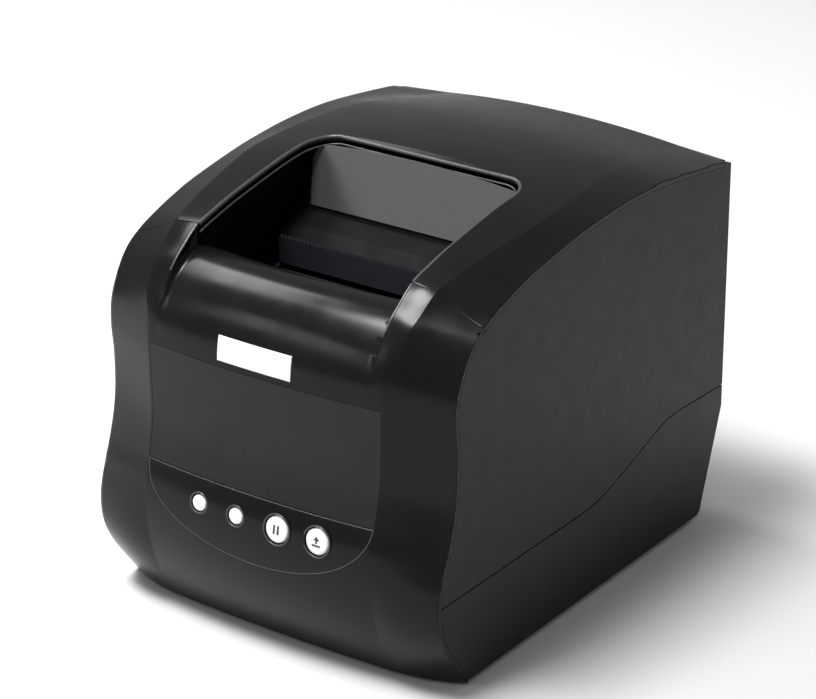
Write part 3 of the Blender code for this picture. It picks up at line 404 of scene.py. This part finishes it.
BLADE = spark_plastic("blackened_blade", (0.014, 0.014, 0.02), (0.022, 0.022, 0.03), 0.35, 0.00002, 0.5)
ALUMINIUM = metal("extruded_aluminium", (0.62, 0.62, 0.63), (0.74, 0.74, 0.75), 0.35)
ACETAL = spark_plastic("natural_acetal", (0.72, 0.7, 0.64), (0.78, 0.77, 0.72), 0.4)
CERAMIC = gloss_plastic("glazed_ceramic", (0.42, 0.39, 0.33), (0.48, 0.45, 0.39), 0.3)
BOARD = circuit_board()
SMOKED = smoked_glass()

NODE_LOOKS = {
    "base_tray": SATIN,
    "upper_housing": SATIN,
    "cover_liner": RECESS,
    "roll_tray": INNER,
    "paper_guide_left": INNER,
    "paper_guide_right": INNER,
    "gap_sensor": INNER,
    "cover_switch": INNER,
    "dc_jack": INNER,
    "rocker_frame": INNER,
    "power_rocker": ROCKER,
    "platen_roller": RUBBER,
    "tear_bar": BLADE,
    "head_heat_sink": ALUMINIUM,
    "print_head": CERAMIC,
    "main_board": BOARD,
    "button_board": BOARD,
    "platen_bush_left": ACETAL,
    "platen_bush_right": ACETAL,
    "platen_gear": ACETAL,
    "idler_gear": ACETAL,
    "guide_pinion": ACETAL,
}
STEEL_NODES = (
    "platen_bracket platen_shaft mechanism_frame head_spring_left head_spring_right idler_stud stepper_motor "
    "motor_pinion hinge_pin_left hinge_pin_right usb_port base_screw_1 base_screw_2 base_screw_3 base_screw_4"
).split()


def dress_nodes():
    """Puts the materials on the CAD nodes that stay, and shades their round faces smooth."""
    looks = dict(NODE_LOOKS)
    looks.update({name: STEEL for name in STEEL_NODES})
    looks.update({f"rubber_foot_{i}": RUBBER for i in range(1, 5)})
    for name, obj in NODES.items():
        obj.data.materials.clear()
        obj.data.materials.append(looks.get(name, GLOSS))
        obj.data.shade_smooth()
        obj.data.set_sharp_from_angle(angle=math.radians(32))


# ---------------------------------------------------------------- outer skin

ROWS = smooth(STATIONS, FINE)
LIP_EDGE = np.minimum(offset(ROWS[:, 5:7], LIP), (REAR_Y, 1000.0))


def skin_point(i, c):
    """A point of the skin in row i. c is 0 at the centre, 1 at the crease, 2 at the lip and 3 at the edge."""
    centre_y, centre_z, crease_x, crease_y, crease_z, edge_y, edge_z, swell = ROWS[i]
    side = math.copysign(1.0, c)
    c = abs(c)
    if c <= 1:
        y = centre_y + (crease_y - centre_y) * c * c
        z = centre_z + (crease_z - centre_z) * c * c
        return (side * c * crease_x, y, z)
    if c <= 2:
        t = c - 1
        lip_y, lip_z = LIP_EDGE[i]
        bulge = 4 * t * (1 - t) * swell
        x = crease_x + (HALF_WIDTH - crease_x) * t
        return (side * x, crease_y + (lip_y - crease_y) * t - bulge, crease_z + (lip_z - crease_z) * t)
    t = c - 2
    lip = np.array(LIP_EDGE[i])
    edge = np.array((edge_y, edge_z))
    y, z = lip + (edge - lip) * t
    return (side * HALF_WIDTH, y, z)


def mirrored(half):
    return [-c for c in reversed(half)] + list(half)


OUTER = [1.012, 1.05, 1.2, 1.35, 1.5, 1.65, 1.8, 1.9, 1.96, 2.0, 2.35, 3.0]


def grid(name, rows):
    """An open surface through a grid of points, with None where it has a hole."""
    bm = bmesh.new()
    verts = [[p and bm.verts.new(Vector(p) * MM) for p in row] for row in rows]
    for low, high in zip(verts, verts[1:]):
        for j in range(len(low) - 1):
            corners = (low[j], low[j + 1], high[j + 1], high[j])
            if None not in corners:
                bm.faces.new(corners)
    loose = [v for v in bm.verts if not v.link_faces]
    bmesh.ops.delete(bm, geom=loose, context="VERTS")
    return add_mesh(name, bm, None, 50)


def thick(name, rows, material, thickness=SHELL):
    """The surface thickened inwards, and the plain surface to take its shading from."""
    source = grid(name + "_shading", rows)
    obj = bpy.data.objects.new(name, source.data.copy())
    bpy.context.scene.collection.objects.link(obj)
    obj.data.materials.append(material)
    solid = obj.modifiers.new("thickness", "SOLIDIFY")
    solid.thickness = thickness * MM
    solid.offset = -1.0
    solid.use_even_offset = True
    obj.modifiers.new("triangles", "TRIANGULATE")
    settle(obj)
    return obj, source


def shade_from(obj, source):
    """Gives the cut shell the smooth shading of the surface that it was made from."""
    obj.data.shade_smooth()
    obj.data.set_sharp_from_angle(angle=math.radians(30))
    transfer = obj.modifiers.new("shading", "DATA_TRANSFER")
    transfer.object = source
    transfer.use_loop_data = True
    transfer.data_types_loops = {"CUSTOM_NORMAL"}
    transfer.loop_mapping = "POLYINTERP_NEAREST"
    transfer.use_max_distance = True
    transfer.max_distance = 0.05 * MM
    settle(obj)
    remove(source)


def hinge_sector(name, radius, x_low, x_high):
    """The space nearer than a radius to the lid's hinge, on the side of the front."""
    front = arc((HINGE_Y, HINGE_Z), radius, 201, 160, 60)
    outline = front + [(HINGE_Y + 20, front[-1][1]), (HINGE_Y + 20, front[0][1])]
    return prism(name, [outline], "X", x_low, x_high)


def front_cover():
    """The glossy front: chin, arms, and the thick bar in front of the slot."""
    last_arm = 14 * FINE
    last_bar = (ROLL_START + len(ROLL_LINE)) * FINE
    line = smooth(np.vstack([STATIONS[: ROLL_START + 1, :2], ROLL_LINE]), FINE)
    outer = list(reversed(OUTER)) + [1.0]
    across = np.linspace(-1, 1, 33)
    rows = []
    for i in range(last_bar + 1):
        arm = i <= last_arm
        blend = min(max((i - ROLL_START * FINE) / (ROLL_BLEND * FINE), 0.0), 1.0)
        blend = blend * blend * (3 - 2 * blend)
        row = [skin_point(i, -c) if arm else None for c in outer]
        for x in (RIM_X + 2.5, RIM_X + 0.7, RIM_X):
            row.append(skin_point(i, -x / ROWS[min(i, last_arm), 2]) if arm else None)
        y, z = line[i]
        for s in across:
            x = s * ROLL_X
            bar = Vector((x, y + ROLL_BOW[0] * s * s, z + ROLL_BOW[1] * s * s))
            if blend < 1:
                shape = skin_point(i, x / ROWS[i, 2])
                plain = Vector((x, shape[1] - ROWS[i, 0] + y, shape[2] - ROWS[i, 1] + z))
                bar = plain.lerp(bar, blend)
            row.append(tuple(bar))
        for x in (RIM_X, RIM_X + 0.7, RIM_X + 2.5):
            row.append(skin_point(i, x / ROWS[min(i, last_arm), 2]) if arm else None)
        row += [skin_point(i, c) if arm else None for c in reversed(outer)]
        rows.append(row)
    cover, source = thick("front_cover_shell", rows, GLOSS)
    for side, (low, high) in {"left": (-80, -ROLL_X - 0.15), "right": (ROLL_X + 0.15, 80)}.items():
        combine(cover, hinge_sector(f"arm_end_{side}", PARTING_RADIUS + GAP / 2, low, high), "DIFFERENCE")
    combine(cover, prism("insert_window", [panel_outline(0.0)], "Y", -110, -60), "DIFFERENCE")
    shade_from(cover, source)
    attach(cover, "base")
    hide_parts("front_cover")


def panel_outline(inset):
    """The insert's outline from the front (x, z): straight sides over a round chin."""
    half = PANEL_HALF - inset
    top = [(half + 0.8, PANEL_TOP - inset), (-half - 0.8, PANEL_TOP - inset)]
    depth = PANEL_SPLIT - PANEL_LOW - inset
    angles = np.radians(np.linspace(0, 180, 73))
    return top + [(-half * math.cos(a), PANEL_SPLIT - depth * math.sin(a)) for a in angles]


def band(name, low, high):
    return prism(name, [[(-60, low), (60, low), (60, high), (-60, high)]], "Y", -110, -60)


def insert_rows():
    return [[skin_point(i, c) for c in np.linspace(-1, 1, 41)] for i in range(2 * FINE, 10 * FINE)]


def control_tilt():
    low, high = STATIONS[3], STATIONS[5]
    return math.atan2(high[0] - low[0], high[1] - low[1])


def control_place(x, depth=0.0):
    """A frame at a control whose Z axis points out of the panel."""
    y, z = STATIONS[4, :2]
    crease_x, crease_y = STATIONS[4, 2:4]
    y += (crease_y - y) * (x / crease_x) ** 2
    point = Vector((x, y + (CONTROL_Z - z) * math.tan(control_tilt()), CONTROL_Z))
    turn = Matrix.Rotation(math.radians(90) - control_tilt(), 4, "X")
    return Matrix.Translation(point * MM) @ turn @ Matrix.Translation((0, 0, -depth * MM))


LED_X = {"online_led_window": -22.9, "error_led_window": -6.1}
BUTTON_X = {"pause_button": 11.9, "feed_button": 28.6}
ROD_SIDES = 64
TURNED_SIDES = 72


def rod(name, radius, low, high, place):
    """A round bar along the Z axis of a place."""
    bm = bmesh.new()
    bmesh.ops.create_cone(
        bm,
        cap_ends=True,
        segments=ROD_SIDES,
        radius1=radius * MM,
        radius2=radius * MM,
        depth=(high - low) * MM,
        matrix=Matrix.Translation((0, 0, (low + high) / 2 * MM)),
    )
    obj = add_mesh(name, bm)
    obj.matrix_world = place
    return obj


def front_inserts():
    """The mid panel and the half-moon control panel under it."""
    pieces = {
        "front_panel": (0, PANEL_SPLIT + GAP / 2, INSERT),
        "control_panel": (PANEL_SPLIT - GAP / 2, 120, GLOSS),
    }
    for node, (low, high, material) in pieces.items():
        obj, source = thick(node + "_shell", insert_rows(), material, SHELL - 0.2)
        combine(obj, prism("outline", [panel_outline(GAP / 2)], "Y", -110, -60), "INTERSECT")
        combine(obj, band("other_part", low, high), "DIFFERENCE")
        if node == "control_panel":
            for name, x in (LED_X | BUTTON_X).items():
                radius = LED_R if name in LED_X else BUTTON_R
                combine(obj, rod(name + "_hole", radius + 0.35, -8, 8, control_place(x)), "DIFFERENCE")
        shade_from(obj, source)
        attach(obj, "base")
        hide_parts(node)


def opening_outline():
    """The opening over the recess, from above (x, y), with wide rear corners."""
    half = RIM_X
    rear = 8.6
    angles = np.radians(np.arange(0, 90.1, 2.5))
    corner = [(half - 9 + 9 * math.cos(a), rear - 13 + 13 * math.sin(a)) for a in angles]
    return [(half, -90)] + corner + [(-x, y) for x, y in reversed(corner)] + [(-half, -90)]


def lid_hinge(lid):
    """The lid's notches around the hinge lugs, its cut rear corners, and its knuckles with their bore."""
    lug_low, lug_high = LUG_X
    notch_y, roof = HINGE_Y - 4.5, HINGE_Z + 2.8
    notch = [(notch_y, 130), (100, 130), (100, roof), (notch_y, roof)]
    corner = [(EAR_Y - 0.1, 130), (110, 130), (110, 160), (EAR_Y - 0.1, 160)]
    knuckle = arc((HINGE_Y, HINGE_Z), KNUCKLE_R, 180, 360, 33)
    knuckle += [(HINGE_Y + 2.2, HINGE_Z + 2.9), (HINGE_Y - KNUCKLE_R, HINGE_Z + 3.2)]
    for side in (-1, 1):
        low, high = sorted((side * (lug_low - GAP), side * (lug_high + GAP)))
        combine(lid, prism("lug_notch", [notch], "X", low, high), "DIFFERENCE")
        low, high = sorted((side * (HALF_WIDTH - 2.5), side * 80.0))
        combine(lid, prism("corner_cut", [corner], "X", low, high), "DIFFERENCE")
        low, high = sorted((side * (lug_low - 8.0), side * (lug_low - GAP)))
        combine(lid, prism("knuckle", [knuckle], "X", low, high), "UNION")
    bore = arc((HINGE_Y, HINGE_Z), PIN_BORE_R, 0, 350, 36)
    combine(lid, prism("pin_bore", [bore], "X", -lug_low, lug_low), "DIFFERENCE")


def lid_shell():
    """The glossy top cover, over the opening to its rear lip."""
    columns = mirrored(list(np.linspace(0.03, 0.988, 30)) + [1.0] + OUTER)
    columns.insert(len(columns) // 2, 0)
    first = 11 * FINE
    rows = [[skin_point(i, c) for c in columns] for i in range(first, len(ROWS))]
    last = rows[-1]
    rows.append([(x, REAR_Y, z - 0.4) for x, _, z in last])
    rows[-2] = [(x, REAR_Y - 0.25, z) for x, _, z in last]
    rows.append([None] + [(x, REAR_Y, 139.2) for x, _, _ in last[1:-1]] + [None])
    lid, source = thick("lid_shell", rows, GLOSS)
    combine(lid, hinge_sector("front_trim", PARTING_RADIUS - GAP / 2, -80, 80), "INTERSECT")
    combine(lid, prism("opening", [opening_outline()], "Z", 110, 180), "DIFFERENCE")
    lid_hinge(lid)
    shade_from(lid, source)
    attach(lid, "lid")
    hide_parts("lid_cover")


# ---------------------------------------------------------------- surface look-ups


def front_point(x, z, lift=0.0):
    """The point of the front skin at (x, z), moved out by a lift."""
    last = 11 * FINE
    column = np.array([skin_point(i, x / ROWS[i, 2]) for i in range(last)])
    y = np.interp(z, column[:, 2], column[:, 1])
    return (x, y - lift, z)


def top_point(x, y, lift=0.0):
    """The point of the top skin at (x, y), moved up by a lift."""
    first = 10 * FINE
    column = np.array([skin_point(i, x / ROWS[i, 2]) for i in range(first, len(ROWS))])
    z = np.interp(y, column[:, 1], column[:, 2])
    return (x, y, z + lift)


def parting_y(x):
    """Where the lid meets the arm, at an x beside the opening."""
    ys = np.linspace(-75, -50, 101)
    reach = [math.hypot(y - HINGE_Y, top_point(x, y)[2] - HINGE_Z) for y in ys]
    return float(np.interp(-PARTING_RADIUS, -np.array(reach), ys))


def ride_as(obj, body, slot, *nodes):
    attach(obj, body)
    if nodes:
        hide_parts(*nodes)


# ---------------------------------------------------------------- rims and beads


def rim_beads():
    """The rounded rims of the opening and of the glossy shells, which catch thin lines of light, and whose
    lighter colour is painted highlight.
    """
    split = parting_y(RIM_X)
    outline = opening_outline()[1:-1]
    front = [(RIM_X, y) for y in np.linspace(split + 0.5, outline[0][1] - 1, 30)]
    path = front + outline + [(-x, y) for x, y in reversed(front)]
    points = [top_point(x, y, -0.8) for x, y in path]
    ride_as(bead("opening_rim", points, 0.9, PAINTED_HIGHLIGHT_RIM), "lid", "gloss_black")
    inner = [(x * 0.972, y - 1.1, z - 2.3) for x, y, z in points]
    ride_as(bead("recess_rim", inner, 0.4, PAINTED_HIGHLIGHT_RIM), "lid", "gloss_black")
    for side in (-1, 1):
        name = "left" if side < 0 else "right"
        arm = [top_point(side * (RIM_X + 0.1), y, -0.3) for y in np.linspace(-79.0, split - 0.6, 16)]
        ride_as(bead(f"arm_rim_{name}", arm, 0.5, PAINTED_HIGHLIGHT_RIM), "base", "gloss_black")
        edge = [(side * (HALF_WIDTH - 0.32), y + 0.1, z - 0.1) for y, z in ROWS[:, 5:7]]
        reach = [math.hypot(y - HINGE_Y, z - HINGE_Z) for _, y, z in edge]
        lower = [p for p, r in zip(edge, reach) if r > PARTING_RADIUS + 0.6 or p[2] < 60]
        upper = [p for p, r in zip(edge, reach) if r < PARTING_RADIUS - 0.6 and p[2] > 60]
        ride_as(bead(f"cover_edge_{name}", lower, 0.3, PAINTED_HIGHLIGHT_RIM), "base", "gloss_black")
        ride_as(bead(f"lid_edge_{name}", upper, 0.3, PAINTED_HIGHLIGHT_RIM), "lid", "gloss_black")


def panel_beads():
    """The fine rims round the half-moon control panel and along the mid panel's lower edge, in the lighter
    rim colour that is painted highlight.
    """
    half_moon = [front_point(x, z, -0.12) for x, z in panel_outline(GAP / 2 + 0.25)[2:]]
    ride_as(bead("control_panel_rim", half_moon, 0.25, PAINTED_HIGHLIGHT_RIM), "base", "gloss_black")
    xs = np.linspace(-PANEL_HALF + 0.6, PANEL_HALF - 0.6, 41)
    line = [front_point(x, PANEL_SPLIT - 0.4, -0.14) for x in xs]
    ride_as(bead("panel_split_rim", line, 0.22, PAINTED_HIGHLIGHT_RIM), "base", "gloss_black")


# ---------------------------------------------------------------- controls


def turned(name, profile, place, material):
    """A profile (radius, height) turned about the Z axis of a place."""
    bm = bmesh.new()
    verts = [bm.verts.new((r * MM, 0, z * MM)) for r, z in profile]
    edges = [bm.edges.new(pair) for pair in zip(verts, verts[1:])]
    bmesh.ops.spin(
        bm,
        geom=verts + edges,
        cent=(0, 0, 0),
        axis=(0, 0, 1),
        angle=2 * math.pi,
        steps=TURNED_SIDES,
        use_merge=True,
    )
    bmesh.ops.remove_doubles(bm, verts=bm.verts, dist=1e-6)
    bmesh.ops.recalc_face_normals(bm, faces=bm.faces)
    obj = add_mesh(name, bm, material, 50)
    obj.matrix_world = place
    return obj


def domed(radius, crown, corner, depth):
    """A disc's profile with a crowned face, a rounded corner and a straight side."""
    face = [(radius - corner) * t for t in np.linspace(0, 1, 9)]
    profile = [(r, crown * (1 - (r / radius) ** 2)) for r in face]
    top = profile[-1][1]
    profile += [
        (radius - corner + corner * math.sin(a), top - corner + corner * math.cos(a))
        for a in np.radians(np.linspace(15, 90, 6))
    ]
    return profile + [(radius, -depth), (0, -depth)]


def flat_shape(name, outline, place, low, high, material):
    obj = prism(name, [outline], "Z", low, high, material)
    obj.data.transform(place)
    return obj


def controls():
    """Light windows, buttons with their raised rings, whose lighter colour is painted highlight, and the
    symbols on the buttons.
    """
    for name, x in LED_X.items():
        lens = turned(name + "_lens", domed(LED_R, 0.45, 0.5, 5.0), control_place(x, 0.1), WHITE)
        ride_as(lens, "base", "white_plastic", name)
        ring = turned(name + "_ring", ring_profile(LED_R + 0.35), control_place(x), PAINTED_HIGHLIGHT_RIM)
        ride_as(ring, "base", "gloss_black")
    bodies = {"pause_button": "pause_key", "feed_button": "feed_key"}
    for name, x in BUTTON_X.items():
        profile = domed(BUTTON_R, 0.35, 0.8, 4.0)[:-1] + [(1.5, -4.0), (1.5, -7.0), (0, -7.0)]
        cap = turned(name + "_cap", profile, control_place(x, 0.0), WHITE)
        ride_as(cap, bodies[name], "white_plastic", name)
        ring = turned(name + "_ring", ring_profile(BUTTON_R + 0.35), control_place(x), PAINTED_HIGHLIGHT_RIM)
        ride_as(ring, "base", "gloss_black")
    place = control_place(BUTTON_X["pause_button"])
    for i, x in enumerate((-0.85, 0.85)):
        bar = [(x - 0.38, -1.6), (x + 0.38, -1.6), (x + 0.38, 1.6), (x - 0.38, 1.6)]
        mark = flat_shape(f"pause_mark_{i + 1}", bar, place, 0.2, 0.4, PRINT)
        ride_as(mark, "pause_key", "white_plastic")
    place = control_place(BUTTON_X["feed_button"])
    arrow = [(-0.35, -0.7), (0.35, -0.7), (0.35, 0.4), (1.2, 0.4), (0, 1.9), (-1.2, 0.4), (-0.35, 0.4)]
    ride_as(flat_shape("feed_arrow", arrow, place, 0.2, 0.4, PRINT), "feed_key", "white_plastic")
    line = [(-1.7, -1.7), (1.7, -1.7), (1.7, -1.15), (-1.7, -1.15)]
    ride_as(flat_shape("feed_line", line, place, 0.2, 0.4, PRINT), "feed_key", "white_plastic")


def ring_profile(radius):
    """The small rounded lip round a hole of the panel."""
    return [(radius + 0.42 + 0.3 * math.cos(a), 0.3 * math.sin(a)) for a in np.linspace(0, 2 * math.pi, 17)]


def badge():
    """A blank plate that follows the curve of the front."""
    (left, _, low), (right, _, high) = node_box("badge_plate")
    xs = np.linspace(left, right, 17)
    rows = [[front_point(x, z, 0.5) for x in xs] for z in np.linspace(low, high, 7)]
    obj, source = thick("badge_face", rows, BADGE, 0.5)
    remove(source)
    soften(obj, 0.15, 2)
    settle(obj)
    ride_as(obj, "base", "white_plastic", "badge_plate")


# ---------------------------------------------------------------- recess

PANE_LOW = (-5.1, 131.2)
PANE_LEAN = 0.5
PANE_HALF = 41.3
PANE_TOP_HALF = 45.6
PANE_TOP = 153.0
PANE_DROP = 1.8


def pane():
    """The smoked window, with round upper corners under the rear rim."""
    slope = math.atan(PANE_LEAN)
    height = (PANE_TOP - PANE_LOW[1]) / math.cos(slope)
    corner = 6.0
    shoulder = height - PANE_DROP - corner
    half = PANE_TOP_HALF
    top = [
        (half - corner + corner * math.cos(a), shoulder + corner * math.sin(a))
        for a in np.radians(np.linspace(0, 75, 12))
    ]
    crown = [
        (x, height - PANE_DROP * (x / (half - corner)) ** 2 + 0.1)
        for x in np.linspace(half - 7, 7 - half, 25)
    ]
    outline = [(-PANE_HALF, 0), (PANE_HALF, 0)] + top + crown + [(-x, z) for x, z in reversed(top)]
    obj = prism("window_pane", [outline], "Y", -0.7, 0.0, SMOKED, 0.2)
    turn = Matrix.Rotation(-slope, 4, "X")
    obj.data.transform(Matrix.Translation(Vector((0, *PANE_LOW)) * MM) @ turn)
    ride_as(obj, "lid", "smoked_window", "cover_window")


# ---------------------------------------------------------------- stage


def stage():
    bm = bmesh.new()
    bmesh.ops.create_grid(bm, x_segments=1, y_segments=1, size=4.0)
    material, tree, shader = shader_of("pale_floor")
    colour = two_tone(tree, noise(tree, 3), (0.64, 0.64, 0.64), (0.67, 0.67, 0.67))
    tree.links.new(colour, shader.inputs["Base Color"])
    shader.inputs["Roughness"].default_value = 0.9
    floor = add_mesh("floor", bm, material)


def softbox(name, azimuth, elevation, distance, size, brightness):
    """A rectangular light aimed at the object. Azimuth 0 is in front of it and 90 on its right."""
    light = bpy.data.lights.new(name, "AREA")
    light.shape = "RECTANGLE"
    light.size, light.size_y = size
    light.energy = brightness * math.pi * size[0] * size[1]
    obj = bpy.data.objects.new(name, light)
    bpy.context.scene.collection.objects.link(obj)
    turn, rise = math.radians(azimuth), math.radians(elevation)
    away = Vector((math.sin(turn) * math.cos(rise), -math.cos(turn) * math.cos(rise), math.sin(rise)))
    aim = Vector((0, 0, 0.1))
    obj.location = aim + away * distance
    obj.rotation_euler = (-away).to_track_quat("-Z", "Y").to_euler()


def lights():
    world = bpy.data.worlds.new("studio")
    bpy.context.scene.world = world
    world.use_nodes = True
    world.node_tree.nodes["Background"].inputs["Color"].default_value = (1, 1, 1, 1)
    world.node_tree.nodes["Background"].inputs["Strength"].default_value = 0.33
    softbox("key", -36, 70, 1.5, (0.62, 0.38), 44)
    softbox("left", -92, 51, 1.6, (0.8, 0.36), 14)
    softbox("front", -34, 24, 1.8, (0.6, 0.45), 4.5)


def camera():
    """The photograph's view, and a plain display transform so that the floor stays white."""
    bpy.context.scene.view_settings.view_transform = "Standard"
    data = bpy.data.cameras.new("camera")
    data.lens = 133.66
    data.sensor_width = 36.0
    obj = bpy.data.objects.new("camera", data)
    bpy.context.scene.collection.objects.link(obj)
    right = Vector((0.8107, 0.5854, -0.0045)).normalized()
    forward = Vector((-0.5365, 0.74, -0.4057)).normalized()
    right = (right - forward * right.dot(forward)).normalized()
    up = right.cross(forward)
    turn = Matrix((right, up, -forward)).transposed().to_4x4()
    obj.matrix_world = Matrix.Translation((0.5926, -0.8199, 0.5311)) @ turn
    bpy.context.scene.camera = obj


camera()
stage()
lights()
dress_nodes()
front_cover()
front_inserts()
lid_shell()
rim_beads()
panel_beads()
controls()
badge()
pane()

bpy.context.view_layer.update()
